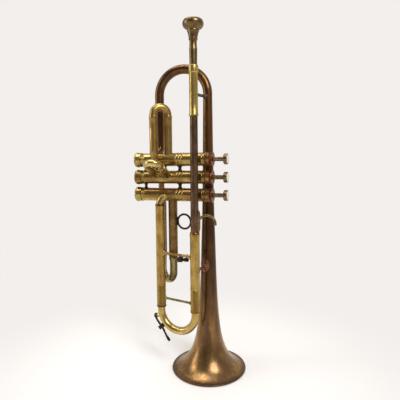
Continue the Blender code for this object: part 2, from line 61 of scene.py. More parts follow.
def highOf(node):
    return Vector(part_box(node)[1]) / mm


def upright(point, height):                               # a point of a vertical axis at a height
    return Vector((point.x, point.y, height))


# the axes that everything is built on
rimRadius = 58.9
rimFlat = math.cos(math.radians(10))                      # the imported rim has 18 flats
bellAxis = Vector((highOf("bell").x - rimRadius * rimFlat, middleOf("bell").y, 0))
leadAxis = middleOf("mouthpiece")
lowerAxis = middleOf("slide_tube_lower")
valveAxis = [middleOf("casing_%d" % number) for number in (1, 2, 3)]
firstRight = middleOf("first_tube_right")
firstLeft = 2 * middleOf("first_slide") - firstRight
secondX = (middleOf("second_tube_left").x, middleOf("second_tube_right").x)
thirdNear = middleOf("third_tube_near")
thirdFar = 2 * middleOf("third_slide") - thirdNear


# ---- modelling steps

def clearSelection():
    if bpy.context.mode != "OBJECT":
        bpy.ops.object.mode_set(mode="OBJECT")
    bpy.ops.object.select_all(action="DESELECT")


def pick(piece):                                          # select one piece and make it active
    clearSelection()
    piece.select_set(True)
    bpy.context.view_layer.objects.active = piece


def startTube(name, place, way, radius, sides=40):        # a first ring, open and selected
    clearSelection()
    turn = Vector(way).to_track_quat("Z", "Y").to_euler()
    bpy.ops.mesh.primitive_circle_add(vertices=sides, radius=radius * mm, location=place * mm, rotation=turn)
    piece = bpy.context.object
    piece.name = name
    piece.data.name = name
    bpy.ops.object.transform_apply(location=True, rotation=True, scale=True)
    bpy.ops.object.mode_set(mode="EDIT")
    bpy.ops.mesh.select_all(action="SELECT")
    return {"piece": piece, "place": Vector(place), "way": Vector(way).normalized(), "radius": radius}


def widen(tube, radius):                                  # the selected ring to a new radius
    share = radius / tube["radius"]
    if abs(share - 1) > 1e-6:
        bpy.ops.transform.resize(value=(share, share, share), center_override=tube["place"] * mm)
        tube["radius"] = radius


def run(tube, length, radius=None, steps=1):              # straight on, easing to another radius
    first = tube["radius"]
    last = first if radius is None else radius
    for step in range(1, steps + 1):
        move = tube["way"] * (length / steps)
        tube["place"] = tube["place"] + move
        bpy.ops.mesh.extrude_region_move(TRANSFORM_OT_translate={"value": move * mm})
        widen(tube, first + (last - first) * step / steps)


def bend(tube, degrees, bendRadius, towards, steps=10, radius=None):      # an arc towards a side
    way = tube["way"]
    side = (Vector(towards) - way * way.dot(towards)).normalized()
    axis = way.cross(side)
    centre = tube["place"] + side * bendRadius
    first = tube["radius"]
    last = first if radius is None else radius
    turn = Matrix.Rotation(math.radians(degrees / steps), 3, axis)
    for step in range(1, steps + 1):
        bpy.ops.mesh.spin(steps=1, angle=-math.radians(degrees / steps), center=centre * mm, axis=axis)
        tube["place"] = centre + turn @ (tube["place"] - centre)
        tube["way"] = turn @ tube["way"]
        widen(tube, first + (last - first) * step / steps)


def fillEnds():
    bpy.ops.mesh.select_all(action="DESELECT")
    bpy.ops.mesh.select_non_manifold()
    bpy.ops.mesh.fill_holes(sides=0)


def signedVolume(mesh):
    mesh.calc_loop_triangles()
    total = 0.0
    for triangle in mesh.loop_triangles:
        a, b, c = (mesh.vertices[index].co for index in triangle.vertices)
        total += a.dot(b.cross(c)) / 6
    return total


def endTube(tube, wall=None, solid=False):                # leave edit mode with a closed piece
    if solid:
        fillEnds()
    bpy.ops.mesh.select_all(action="SELECT")
    bpy.ops.mesh.remove_doubles(threshold=1e-6)
    bpy.ops.mesh.normals_make_consistent(inside=False)
    bpy.ops.object.mode_set(mode="OBJECT")
    piece = tube["piece"]
    if not wall and signedVolume(piece.data) < 0:         # a hooked bar can come out inside out
        bpy.ops.object.mode_set(mode="EDIT")
        bpy.ops.mesh.flip_normals()
        bpy.ops.object.mode_set(mode="OBJECT")
    if wall:
        step = piece.modifiers.new("wall", "SOLIDIFY")
        step.thickness = wall * mm
        step.offset = -1
        bpy.ops.object.modifier_apply(modifier=step.name)
    return piece


def turned(name, rows, place, way, sides=48, solid=False):   # lathe work: (radius, height) rows
    radius, height = rows[0]
    way = Vector(way).normalized()
    tube = startTube(name, place + way * height, way, radius, sides)
    for nextRadius, nextHeight in rows[1:]:
        run(tube, nextHeight - height, nextRadius)
        height = nextHeight
    if not solid:                                         # the section closes on its first ring
        run(tube, rows[0][1] - height, rows[0][0])
    return endTube(tube, solid=solid)


def softEdges(piece, width=0.25, segments=2, angle=32):   # worn corners
    pick(piece)
    step = piece.modifiers.new("edges", "BEVEL")
    step.width = width * mm
    step.segments = segments
    step.limit_method = "ANGLE"
    step.angle_limit = math.radians(angle)
    bpy.ops.object.modifier_apply(modifier=step.name)
    return piece


def smooth(piece, angle=34):
    pick(piece)
    bpy.ops.object.shade_smooth_by_angle(angle=math.radians(angle))
    return piece


def shapeWith(piece, tool, way="DIFFERENCE"):             # cut away or add another shape
    pick(piece)
    step = piece.modifiers.new("shape", "BOOLEAN")
    step.operation = way
    step.solver = "EXACT"
    step.object = tool
    bpy.ops.object.modifier_apply(modifier=step.name)
    bpy.data.objects.remove(tool, do_unlink=True)
    return piece


def rod(name, start, end, radius, sides=32):              # plain bar, used as a cutter or a core
    tube = startTube(name, start, end - start, radius, sides)
    run(tube, (end - start).length)
    return endTube(tube, solid=True)


def fitToCasing(piece, index, depth=0.5):                 # end a tube inside a casing's wall
    middle = valveAxis[index]
    reach = Vector((90, 0, 0))
    return shapeWith(piece, rod("cutter", middle - reach, middle + reach, casing["radius"] - depth, 64))


def block(name, place, size, turn=None):                  # a box at its size and place
    clearSelection()
    bpy.ops.mesh.primitive_cube_add(size=mm, location=(0, 0, 0))
    piece = bpy.context.object
    piece.name = name
    piece.data.name = name
    piece.scale = size
    if turn:
        piece.rotation_euler = turn.to_euler()
    piece.location = place * mm
    bpy.ops.object.transform_apply(location=True, rotation=True, scale=True)
    return piece


def keep(piece, body, slot, material, *nodes):            # hand a finished piece to the frame
    smooth(piece)
    piece.data.materials.clear()
    piece.data.materials.append(material)
    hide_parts(*nodes)
    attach(piece, body)
    return piece


# ---- camera

view = {"place": (197.28, -542.98, 322.0), "turn": 18.51, "tip": 84.9, "roll": -0.4, "lens": 33.336}
bpy.ops.object.camera_add(location=Vector(view["place"]) * mm)
camera = bpy.context.object
camera.rotation_mode = "QUATERNION"
camera.rotation_quaternion = (Matrix.Rotation(math.radians(view["turn"]), 3, "Z")
                              @ Matrix.Rotation(math.radians(view["tip"]), 3, "X")
                              @ Matrix.Rotation(math.radians(view["roll"]), 3, "Z")).to_quaternion()
camera.data.lens = view["lens"]
camera.data.sensor_width = 36
camera.data.clip_start = 0.01
bpy.context.scene.camera = camera
print("camera placed")


# ---- finishes

def fromHex(colour):                                      # sRGB hex to the linear values of a shader
    values = []
    for start in (1, 3, 5):
        part = int(colour[start:start + 2], 16) / 255
        values.append(part / 12.92 if part <= 0.04045 else ((part + 0.055) / 1.055) ** 2.4)
    return (*values, 1.0)


def addNode(tree, kind, settings=None, links=None):       # one node with its settings and links
    node = tree.nodes.new(kind)
    for name, value in (settings or {}).items():
        if name in node.inputs:
            node.inputs[name].default_value = value
        else:
            setattr(node, name, value)
    for name, source in (links or {}).items():
        tree.links.new(source, node.inputs[name])
    return node


def rampOf(node, stops):                                  # colour stops of a ramp
    ramp = node.color_ramp
    while len(ramp.elements) > 1:
        ramp.elements.remove(ramp.elements[-1])
    for index, (place, colour) in enumerate(stops):
        stop = ramp.elements[0] if index == 0 else ramp.elements.new(place)
        stop.position = place
        stop.color = fromHex(colour) if isinstance(colour, str) else (colour, colour, colour, 1.0)
    return node


def agedMetal(name, recipe):
    # worn metal: a clean alloy colour, brown tarnish in clouds, streaks along the tube, a bloom of
    # another tone, dark specks and pits, all drawn at the size that old brass shows them
    material = bpy.data.materials.new(name)
    material.use_nodes = True
    tree = material.node_tree
    tree.nodes.clear()
    spot = addNode(tree, "ShaderNodeTexCoord")
    placed = addNode(tree, "ShaderNodeMapping", {"Location": recipe.get("shift", (0.013, 0.007, 0.021))},
                     {"Vector": spot.outputs["Object"]})
    drawn = addNode(tree, "ShaderNodeMapping", {"Scale": recipe.get("grain", (1, 1, 0.16))},
                    {"Vector": placed.outputs["Vector"]})
    clouds = addNode(tree, "ShaderNodeTexNoise",
                     {"Scale": 1000 / recipe.get("cloud", 16), "Detail": 5.0, "Roughness": 0.6,
                      "Distortion": 0.4},
                     {"Vector": placed.outputs["Vector"]})
    streaks = addNode(tree, "ShaderNodeTexNoise",
                      {"Scale": 1000 / recipe.get("streak", 5), "Detail": 4.0, "Roughness": 0.65},
                      {"Vector": drawn.outputs["Vector"]})
    blend = addNode(tree, "ShaderNodeMix", {"data_type": "FLOAT", "Factor": recipe.get("streakShare", 0.45)})
    tree.links.new(clouds.outputs["Fac"], blend.inputs[2])
    tree.links.new(streaks.outputs["Fac"], blend.inputs[3])
    tone = rampOf(addNode(tree, "ShaderNodeValToRGB", None, {"Fac": blend.outputs[0]}),
                  ((0.32, recipe["tarnish"]), (0.47, recipe["warm"]), (0.61, recipe["clean"])))
    bloom = addNode(tree, "ShaderNodeTexNoise",
                    {"Scale": 1000 / recipe.get("bloomSize", 30), "Detail": 4.0, "Roughness": 0.6,
                     "Distortion": 1.2},
                    {"Vector": drawn.outputs["Vector"]})
    bloomMask = rampOf(addNode(tree, "ShaderNodeValToRGB", None, {"Fac": bloom.outputs["Fac"]}),
                       ((0.46, 0.0), (0.64, recipe.get("bloomShare", 0.5))))
    colour = tintWith(tree, tone.outputs["Color"], bloomMask.outputs["Color"], recipe.get("bloom", "#6a5638"))
    specks = addNode(tree, "ShaderNodeTexNoise",
                     {"Scale": 1000 / recipe.get("speck", 3.2), "Detail": 6.0, "Roughness": 0.7,
                      "Distortion": 0.8},
                     {"Vector": placed.outputs["Vector"]})
    speckMask = rampOf(addNode(tree, "ShaderNodeValToRGB", None, {"Fac": specks.outputs["Fac"]}),
                       ((0.56, 0.0), (0.70, recipe.get("speckShare", 0.7))))
    colour = tintWith(tree, colour, speckMask.outputs["Color"], recipe["dark"])
    for zone in recipe.get("zones", ()):                  # tinted stretches along an axis
        colour = addZone(tree, spot, specks, colour, zone)
    rough = addNode(tree, "ShaderNodeMapRange",
                    {"From Min": 0.35, "From Max": 0.68, "To Min": recipe["rough"][1],
                     "To Max": recipe["rough"][0]},
                    {"Value": blend.outputs[0]})
    pits = addNode(tree, "ShaderNodeTexNoise",
                   {"Scale": 1000 / recipe.get("pit", 1.1), "Detail": 3.0, "Roughness": 0.6},
                   {"Vector": placed.outputs["Vector"]})
    waves = addNode(tree, "ShaderNodeTexNoise",
                    {"Scale": 1000 / recipe.get("dent", 26), "Detail": 1.0},
                    {"Vector": placed.outputs["Vector"]})
    ripple = addNode(tree, "ShaderNodeBump",
                     {"Strength": recipe.get("dentDepth", 0.10), "Distance": 0.004},
                     {"Height": waves.outputs["Fac"]})
    bump = addNode(tree, "ShaderNodeBump", {"Strength": recipe.get("pitDepth", 0.06), "Distance": 0.0004},
                   {"Height": pits.outputs["Fac"], "Normal": ripple.outputs["Normal"]})
    shader = addNode(tree, "ShaderNodeBsdfPrincipled", {"Metallic": recipe.get("metallic", 0.9)},
                     {"Base Color": colour, "Roughness": rough.outputs["Result"],
                      "Normal": bump.outputs["Normal"]})
    addNode(tree, "ShaderNodeOutputMaterial", None, {"Surface": shader.outputs["BSDF"]})
    return material


def tintWith(tree, colour, mask, tint, blend="MIX"):      # lay a tint over a colour where the mask is
    mixed = addNode(tree, "ShaderNodeMix", {"data_type": "RGBA", "blend_type": blend})
    tree.links.new(mask, mixed.inputs[0])
    tree.links.new(colour, mixed.inputs[6])
    mixed.inputs[7].default_value = fromHex(tint)
    return mixed.outputs[2]


ramped = ((0.0, 0.0), (1.0, 1.0))
banded = ((0.0, 0.0), (0.25, 0.85), (0.75, 0.85), (1.0, 0.0))


def addZone(tree, spot, wobble, colour, zone):            # a stretch along an axis, its edge broken up
    apart = addNode(tree, "ShaderNodeSeparateXYZ", None, {"Vector": spot.outputs["Object"]})
    start, end = zone["span"]
    along = addNode(tree, "ShaderNodeMapRange",
                    {"clamp": False, "From Min": start * mm, "From Max": end * mm, "To Min": -0.1,
                     "To Max": 0.9},
                    {"Value": apart.outputs[zone["axis"]]})
    broken = addNode(tree, "ShaderNodeMath", {"operation": "MULTIPLY_ADD"})
    tree.links.new(wobble.outputs["Fac"], broken.inputs[0])
    broken.inputs[1].default_value = 0.2
    tree.links.new(along.outputs["Result"], broken.inputs[2])
    mask = rampOf(addNode(tree, "ShaderNodeValToRGB", None, {"Fac": broken.outputs["Value"]}),
                  zone.get("ease", ramped))
    return tintWith(tree, colour, mask.outputs["Color"], zone["colour"], zone.get("blend", "MULTIPLY"))


tarnishedBrass = agedMetal("tarnishedYellowBrass", {      # drawn tube, lacquer gone: dull gold, olive clouds
    "clean": "#bfa362", "warm": "#a38448", "tarnish": "#745b30", "dark": "#3f2a17",
    "rough": (0.22, 0.42), "cloud": 18, "streak": 6, "bloom": "#8a5e38"})
slideRecipe = {  # main slide: tarnished, black grease where the sleeves end
    "clean": "#bd9f58", "warm": "#a48342", "tarnish": "#77592c", "dark": "#4e2e18",
    "rough": (0.18, 0.36), "cloud": 26, "streak": 4, "streakShare": 0.6, "bloom": "#8a5530",
    "bloomShare": 0.5}
lowerSlideBrass = agedMetal("tarnishedSlideBrass", {**slideRecipe, "zones": (
    {"axis": "Z", "span": (103.4, 107.2), "colour": "#5a4224", "ease": banded},
    {"axis": "Z", "span": (262.0, 267.5), "colour": "#b08c68", "ease": banded})})
upperSlideBrass = agedMetal("tarnishedUpperSlideBrass",
                            {**slideRecipe, "shift": (0.31, 0.17, 0.45), "zones": (
    {"axis": "Z", "span": (103.4, 106.6), "colour": "#b49468", "ease": banded},
    {"axis": "Z", "span": (223.0, 227.4), "colour": "#c08c70", "ease": banded})})
casingBrass = agedMetal("handledCasingBrass", {           # hand sweat: olive and brown patches in the gold
    "clean": "#ccb26c", "warm": "#9c8346", "tarnish": "#664f2a", "dark": "#3c2612",
    "rough": (0.16, 0.34), "cloud": 24, "streak": 14, "grain": (0.25, 1, 1), "speckShare": 0.45, "speck": 6,
    "bloom": "#7a4c2a", "bloomSize": 20, "bloomShare": 0.65, "dentDepth": 0.04, "pitDepth": 0.02})
brownedBrass = agedMetal("brownedBrass", {                # never polished: brown oxide over brass
    "clean": "#775c42", "warm": "#5c4433", "tarnish": "#3c2b22", "dark": "#1e1410",
    "rough": (0.28, 0.46), "cloud": 14, "streak": 4, "metallic": 0.85, "bloom": "#4a3f2c"})
heatedBrass = agedMetal("rubbedBrownBrass", {  # third slide's tubes: red-brown with gold rubbed through
    "clean": "#987a48", "warm": "#7f5f36", "tarnish": "#5a4326", "dark": "#2c1c10",
    "rough": (0.24, 0.42), "cloud": 16, "streak": 5, "metallic": 0.9, "bloom": "#6a4028"})
oliveBrass = agedMetal("oliveBrass", {                    # bends nobody wipes: green-grey over pale gold
    "clean": "#b3a26c", "warm": "#84734a", "tarnish": "#52462c", "dark": "#2c2214",
    "rough": (0.16, 0.32), "cloud": 14, "streak": 6, "bloom": "#4a4428", "bloomSize": 14, "dentDepth": 0.05})
polishedBrass = agedMetal("handPolishedBrass", {          # rubbed bright by hands: pale gold, soft highlights
    "clean": "#d2ba7c", "warm": "#bca05c", "tarnish": "#94743c", "dark": "#6a4c28",
    "rough": (0.22, 0.36), "cloud": 26, "streak": 10, "speckShare": 0.3, "metallic": 1.0,
    "bloom": "#9a7c42", "bloomShare": 0.4, "dentDepth": 0.04, "pitDepth": 0.02})
receiverBrass = agedMetal("rubbedReceiverBrass", {        # gripped at every playing: pale olive gold
    "clean": "#cdb76c", "warm": "#b29a54", "tarnish": "#82703c", "dark": "#4a3a20",
    "rough": (0.22, 0.38), "cloud": 18, "streak": 6, "bloom": "#8a7040", "speckShare": 0.4,
    "dentDepth": 0.05})
bellBrass = agedMetal("oxidisedBellBrass", {              # spun sheet: brown stem, warmer towards the flare
    "clean": "#b48e54", "warm": "#946f44", "tarnish": "#694f38", "dark": "#3c2a1c",
    "rough": (0.20, 0.38), "cloud": 26, "streak": 8, "metallic": 0.94, "bloom": "#6e5546", "bloomSize": 26,
    "bloomShare": 0.6, "streakShare": 0.6, "grain": (1, 1, 0.10), "speckShare": 0.55,
    "zones": ({"axis": "Z", "span": (30, 125), "colour": "#bcb4b0"},
              {"axis": "Z", "span": (110, 350), "colour": "#c4bebe", "ease": banded},
              {"axis": "Z", "span": (0.0, 5.0), "colour": "#7a6246", "ease": ((0.0, 1.0), (1.0, 0.0))})})
capBrass = agedMetal("copperedCapBrass", {                # caps: gold-brown body, copper-red knurled rim
    "clean": "#b8945c", "warm": "#926f42", "tarnish": "#60462a", "dark": "#321e12",
    "rough": (0.22, 0.40), "cloud": 12, "streak": 6, "grain": (1, 1, 1), "bloom": "#84503a", "bloomSize": 9,
    "dentDepth": 0.04,
    "zones": ({"axis": "X", "span": (36.8, 37.8), "colour": "#b87c6c"},)})
mouthBronze = agedMetal("wornMouthpieceBrass", {          # plating worn through: dull bronze
    "clean": "#8c7650", "warm": "#725b3a", "tarnish": "#554329", "dark": "#33271a",
    "rough": (0.26, 0.38), "cloud": 14, "streak": 6, "metallic": 0.95, "speckShare": 0.25, "pitDepth": 0.01,
    "dentDepth": 0.02, "bloom": "#5f5140"})
stemBrass = agedMetal("dullStemBrass", {                  # button stems: plating gone grey, brass beneath
    "clean": "#98805f", "warm": "#776248", "tarnish": "#554536", "dark": "#2c2218",
    "rough": (0.24, 0.38), "cloud": 8, "streak": 4, "grain": (0.3, 1, 1), "bloom": "#8a7040", "bloomSize": 8})
nickelSilver = agedMetal("satinNickelSilver", {           # lapped pistons: grey satin with faint yellow
    "clean": "#b8b2a4", "warm": "#9c9688", "tarnish": "#7a7468", "dark": "#504c46", "bloom": "#8c8468",
    "rough": (0.20, 0.34), "cloud": 10, "streak": 3, "grain": (0.2, 1, 1)})
springSteel = agedMetal("blackenedSpringSteel", {         # hardened wire: dark grey
    "clean": "#6c6862", "warm": "#55504a", "tarnish": "#3a3430", "dark": "#201c1a", "bloom": "#4a3a2e",
    "rough": (0.26, 0.42), "cloud": 5, "streak": 2})
copperedBrass = agedMetal("copperedStayBrass", {          # flux-burnt stay: copper brown
    "clean": "#94684a", "warm": "#74503a", "tarnish": "#4c3526", "dark": "#281a12", "bloom": "#5c3a2c",
    "rough": (0.24, 0.42), "cloud": 7, "streak": 4, "grain": (1, 1, 1)})
blackenedBrass = agedMetal("blackenedBrass", {            # sweat-blackened small fittings
    "clean": "#4a3a2c", "warm": "#31251d", "tarnish": "#1e1713", "dark": "#110d0b", "bloom": "#3c3020",
    "rough": (0.30, 0.50), "cloud": 6, "streak": 3, "metallic": 0.8})


def pearlShell():  # mother-of-pearl disc: pale, soft bands of pink and green
    material = bpy.data.materials.new("motherOfPearl")
    material.use_nodes = True
    tree = material.node_tree
    tree.nodes.clear()
    spot = addNode(tree, "ShaderNodeTexCoord")
    bands = addNode(tree, "ShaderNodeTexNoise", {"Scale": 1000 / 6, "Detail": 3.0, "Distortion": 2.2},
                    {"Vector": spot.outputs["Object"]})
    tone = rampOf(addNode(tree, "ShaderNodeValToRGB", None, {"Fac": bands.outputs["Fac"]}),
                  ((0.32, "#cfc8c0"), (0.45, "#e4ddd4"), (0.55, "#d8dcd2"), (0.68, "#ece4e0")))
    shader = addNode(tree, "ShaderNodeBsdfPrincipled",
                     {"Roughness": 0.22, "IOR": 1.53, "Coat Weight": 0.5, "Coat Roughness": 0.08},
                     {"Base Color": tone.outputs["Color"]})
    addNode(tree, "ShaderNodeOutputMaterial", None, {"Surface": shader.outputs["BSDF"]})
    return material


def corkPad():                                            # pressed cork: brown with dark grain
    material = bpy.data.materials.new("pressedCork")
    material.use_nodes = True
    tree = material.node_tree
    tree.nodes.clear()
    spot = addNode(tree, "ShaderNodeTexCoord")
    grain = addNode(tree, "ShaderNodeTexNoise", {"Scale": 1000 / 1.2, "Detail": 4.0, "Roughness": 0.7},
                    {"Vector": spot.outputs["Object"]})
    tone = rampOf(addNode(tree, "ShaderNodeValToRGB", None, {"Fac": grain.outputs["Fac"]}),
                  ((0.38, "#2a1c12"), (0.52, "#4c3624"), (0.66, "#6a4e34")))
    bump = addNode(tree, "ShaderNodeBump", {"Strength": 0.4, "Distance": 0.0003},
                   {"Height": grain.outputs["Fac"]})
    shader = addNode(tree, "ShaderNodeBsdfPrincipled", {"Roughness": 0.88},
                     {"Base Color": tone.outputs["Color"], "Normal": bump.outputs["Normal"]})
    addNode(tree, "ShaderNodeOutputMaterial", None, {"Surface": shader.outputs["BSDF"]})
    return material


pearl = pearlShell()
cork = corkPad()
print("finishes made")


# ---- bell: flare, stem, bow and tail in one drawn tube

bell = {
    "flare": ((57.4, 2.2), (53.8, 3.0), (47.3, 6.5), (40.4, 12.0), (34.0, 20.0), (28.4, 30.0), (23.6, 43.0),
              (19.6, 60.0), (17.0, 80.0), (14.6, 110.0), (12.7, 150.0), (11.0, 205.0), (9.3, 262.0),
              (7.9, 355.0), (7.0, 431.0)),                # (radius, height)
    "between": 5,                                         # rings between two of those
    "wall": 0.75, "sides": 96,
    "bowHeight": 433.0, "bowRadius": 7.0, "tailRadius": 6.4, "tailEnd": 356.0,
    "beadHalf": (1.75, 1.3), "beadMiddle": (57.15, 1.3),
}


def smoothRows(rows, between):                            # a smooth outline through (radius, height) rows
    points = [Vector((math.log(radius), height)) for radius, height in rows]
    out = []
    for index in range(len(points) - 1):
        a = points[max(index - 1, 0)]
        b, c = points[index], points[index + 1]
        d = points[min(index + 2, len(points) - 1)]
        for step in range(between):
            share = step / between
            gap = c.y - b.y
            slopeB = (c.x - a.x) / (c.y - a.y) * gap      # keeps the slope where the steps are uneven
            slopeC = (d.x - b.x) / (d.y - b.y) * gap
            one, two = share * share, share * share * share
            level = ((2 * two - 3 * one + 1) * b.x + (two - 2 * one + share) * slopeB
                     + (3 * one - 2 * two) * c.x + (two - one) * slopeC)
            out.append((math.exp(level), b.y + gap * share))
    out.append(rows[-1])
    return out


def makeBell():
    rows = smoothRows(bell["flare"], bell["between"])
    radius, height = rows[0]
    tube = startTube("bell", upright(bellAxis, height), up, radius, bell["sides"])
    for nextRadius, nextHeight in rows[1:]:
        run(tube, nextHeight - height, nextRadius)
        height = nextHeight
    run(tube, bell["bowHeight"] - height, bell["bowRadius"])
    tail = upright(middleOf("bell"), 0)
    tail.x = lowOf("bell").x + bell["bowRadius"] * rimFlat
    tail.y = bellAxis.y - 6.5
    across = upright(tail - bellAxis, 0)
    bend(tube, 180, across.length / 2, across, 30)
    run(tube, bell["bowHeight"] - bell["tailEnd"], bell["tailRadius"], 4)
    bend(tube, 62, 16, Vector((0, -1, 0)), 10)
    run(tube, 4.0)
    piece = endTube(tube, wall=bell["wall"])
    fitToCasing(piece, 0)
    halfWide, halfHigh = bell["beadHalf"]
    middleRadius, middleHeight = bell["beadMiddle"]
    rows = []
    for step in range(16):                                # rolled bead on a wire, oval in section
        turn = 2 * math.pi * step / 16
        rows.append((middleRadius + halfWide * math.cos(turn), middleHeight + halfHigh * math.sin(turn)))
    bead = turned("bellRim", rows, upright(bellAxis, 0), up, 128)
    keep(piece, "horn", "bell_brass", bellBrass, "bell")
    keep(bead, "horn", "dark_brass", brownedBrass, "bell")


casing = {
    "radius": 10.1, "bore": 8.75, "neck": 9.3, "sides": 64,
    "beads": (-41.9, -37.0, -32.1),
}
makeBell()
print("bell made")


# ---- mouthpiece, receiver and lead pipe

mouthpiece = {
    "rows": ((3.9, 444.0), (4.9, 444.0), (5.25, 452.0), (5.75, 486.0), (5.85, 489.2), (5.3, 490.6),
             (5.25, 500.2), (6.3, 500.8), (6.45, 502.6), (6.1, 503.2), (6.9, 507.0), (7.9, 511.4),
             (8.6, 512.0), (8.6, 513.6), (8.2, 514.4), (10.2, 515.6), (12.6, 517.2), (14.3, 519.2),
             (15.0, 521.4), (15.05, 523.6), (14.4, 525.9), (13.3, 527.5), (12.2, 528.0), (11.0, 527.8),
             (9.8, 526.8), (8.6, 525.2), (8.2, 521.0), (7.4, 516.0), (5.6, 511.5), (3.4, 508.6), (2.0, 506.5),
             (2.0, 500.0)),
    "sides": 72,
}
piece = turned("mouthpiece", mouthpiece["rows"], upright(leadAxis, 0), up, mouthpiece["sides"])
softEdges(piece, 0.22)
keep(piece, "mouthpiece", "bronze", mouthBronze, "mouthpiece")

receiver = {
    "rows": ((5.85, 395.2), (6.8, 395.0), (6.95, 396.2), (6.7, 398.2), (6.25, 399.0), (6.2, 412.0),
             (6.2, 455.2), (7.0, 456.0), (7.1, 457.0), (7.1, 464.6), (6.8, 466.0), (5.95, 466.0),
             (5.2, 443.0), (4.6, 442.5), (4.6, 432.0), (5.85, 431.6)),
}
piece = turned("receiver", receiver["rows"], upright(leadAxis, 0), up)
softEdges(piece, 0.3)
keep(piece, "horn", "aged_brass", receiverBrass, "receiver")

leadPipe = {"top": 431.0, "bottom": 214.0, "topRadius": 5.5, "bottomRadius": 6.05, "wall": 0.6}
tube = startTube("leadPipe", upright(leadAxis, leadPipe["top"]), -up, leadPipe["topRadius"])
run(tube, leadPipe["top"] - leadPipe["bottom"], leadPipe["bottomRadius"], 12)
piece = endTube(tube, wall=leadPipe["wall"])
keep(piece, "horn", "dark_brass", brownedBrass, "leadpipe")
print("mouthpiece and lead pipe made")


# ---- main slide: outer tubes, elbow, inner legs, crook and its stays

mainSlide = {
    "outer": 7.15, "crookEntry": 103.8, "crookStart": 99.3, "crook": 5.9, "wall": 0.6, "nippleTurn": 197.0,
}
upperRows = ((6.4, 139.0), (7.35, 139.0), (7.45, 140.0), (7.2, 141.8), (7.15, 143.0), (7.15, 218.2),
             (7.45, 218.8), (7.5, 221.0), (7.45, 223.8), (7.2, 225.0), (6.7, 226.0), (6.4, 226.0))
lowerRows = ((6.4, 139.0), (7.35, 139.0), (7.45, 140.0), (7.2, 141.8), (7.15, 143.0), (7.15, 261.0),
             (7.4, 261.6), (7.45, 263.4), (7.3, 265.6), (7.0, 266.0), (6.4, 266.0))
sleeveRows = ((5.7, 104.1), (7.4, 104.1), (7.5, 105.0), (7.45, 106.8), (7.15, 107.5), (7.15, 138.0),
              (6.9, 138.7), (6.3, 139.0), (6.3, 206.4), (6.0, 207.0), (5.7, 207.0))
for name, node, rows, axis, body in (
        ("slideTubeUpper", "slide_tube_upper", upperRows, leadAxis, "horn"),
        ("slideTubeLower", "slide_tube_lower", lowerRows, lowerAxis, "horn"),
        ("slideLegUpper", "tuning_leg_upper", sleeveRows, leadAxis, "tuning_slide"),
        ("slideLegLower", "tuning_leg_lower", sleeveRows, lowerAxis, "tuning_slide")):
    piece = turned(name, rows, upright(axis, 0), up)
    softEdges(piece, 0.2)
    keep(piece, body, "aged_brass", lowerSlideBrass if axis is lowerAxis else upperSlideBrass, node)

tube = startTube("lowerElbow", upright(lowerAxis, 250.0), up, mainSlide["crook"])
run(tube, 15.8, None, 2)
bend(tube, 66, 11.5, Vector((0.83, 0.55, 0)), 14)
run(tube, 8.0)
piece = endTube(tube, wall=mainSlide["wall"])
fitToCasing(piece, 2)
keep(piece, "horn", "bright_brass", polishedBrass, "lower_elbow")

crookMiddle = upright((lowerAxis + leadAxis) / 2, mainSlide["crookStart"])
crookAlong = upright(leadAxis - lowerAxis, 0).normalized()
crookNormal = crookAlong.cross(up)
crookBend = upright(leadAxis - lowerAxis, 0).length / 2


def onCrook(degrees, radius, offset=0.0):                 # by angle about the middle of the bend
    turn = math.radians(degrees)
    return (crookMiddle + crookAlong * (radius * math.cos(turn)) + up * (radius * math.sin(turn))
            + crookNormal * offset)


tube = startTube("tuningCrook", upright(lowerAxis, mainSlide["crookEntry"]), -up, mainSlide["crook"], 48)
run(tube, mainSlide["crookEntry"] - mainSlide["crookStart"], None, 2)
bend(tube, 180, crookBend, crookAlong, 36)
run(tube, mainSlide["crookEntry"] - mainSlide["crookStart"], None, 2)
piece = endTube(tube, wall=mainSlide["wall"])
nippleTurn = mainSlide["nippleTurn"]
shapeWith(piece, rod("nipple", onCrook(nippleTurn, crookBend + 4.8), onCrook(nippleTurn, crookBend + 8.2),
                     3.2, 24), "UNION")
shapeWith(piece, rod("drain", onCrook(nippleTurn, crookBend + 2.0), onCrook(nippleTurn, crookBend + 10.0),
                     1.6, 20))
keep(piece, "tuning_slide", "bright_brass", polishedBrass, "tuning_crook")


def makeStay(name, node, start, end, body, slot, material, shape):     # turned stay with a foot at both ends
    startPoint, startTubeRadius = start
    endPoint, endTubeRadius = end
    way = (endPoint - startPoint).normalized()
    length = (endPoint - startPoint).length
    foot, bar = shape["foot"], shape["bar"]
    farFoot = shape.get("farFoot", foot)
    a, b = startTubeRadius, length - endTubeRadius
    sink = startTubeRadius - math.sqrt(startTubeRadius ** 2 - foot ** 2)
    farSink = endTubeRadius - math.sqrt(endTubeRadius ** 2 - farFoot ** 2)
    rows = [(foot, a - sink - 0.3), (foot, a + 0.4), (foot * 0.9, a + 0.9), (bar * 1.7, a + 1.1),
            (bar * 1.5, a + 1.7), (bar * 1.1, a + 2.3), (bar, a + 3.2)]
    for share in shape.get("beads", ()):
        spot = a + (b - a) * share
        rows += [(bar, spot - 1.6), (bar * 1.45, spot - 0.8), (bar * 1.5, spot), (bar * 1.45, spot + 0.8),
                 (bar, spot + 1.6)]
    rows += [(bar, b - 3.2), (bar * 1.1, b - 2.3), (bar * 1.5, b - 1.7), (bar * 1.7, b - 1.1),
             (farFoot * 0.9, b - 0.9), (farFoot, b - 0.4), (farFoot, b + farSink + 0.3)]
    piece = turned(name, rows, startPoint, way, 32, solid=True)
    for point, radius in ((startPoint, startTubeRadius), (endPoint, endTubeRadius)):
        shapeWith(piece, rod("cutter", point - up * 20, point + up * 20, radius - 0.1, 48))
    softEdges(piece, 0.2)
    return keep(piece, body, slot, material, node)


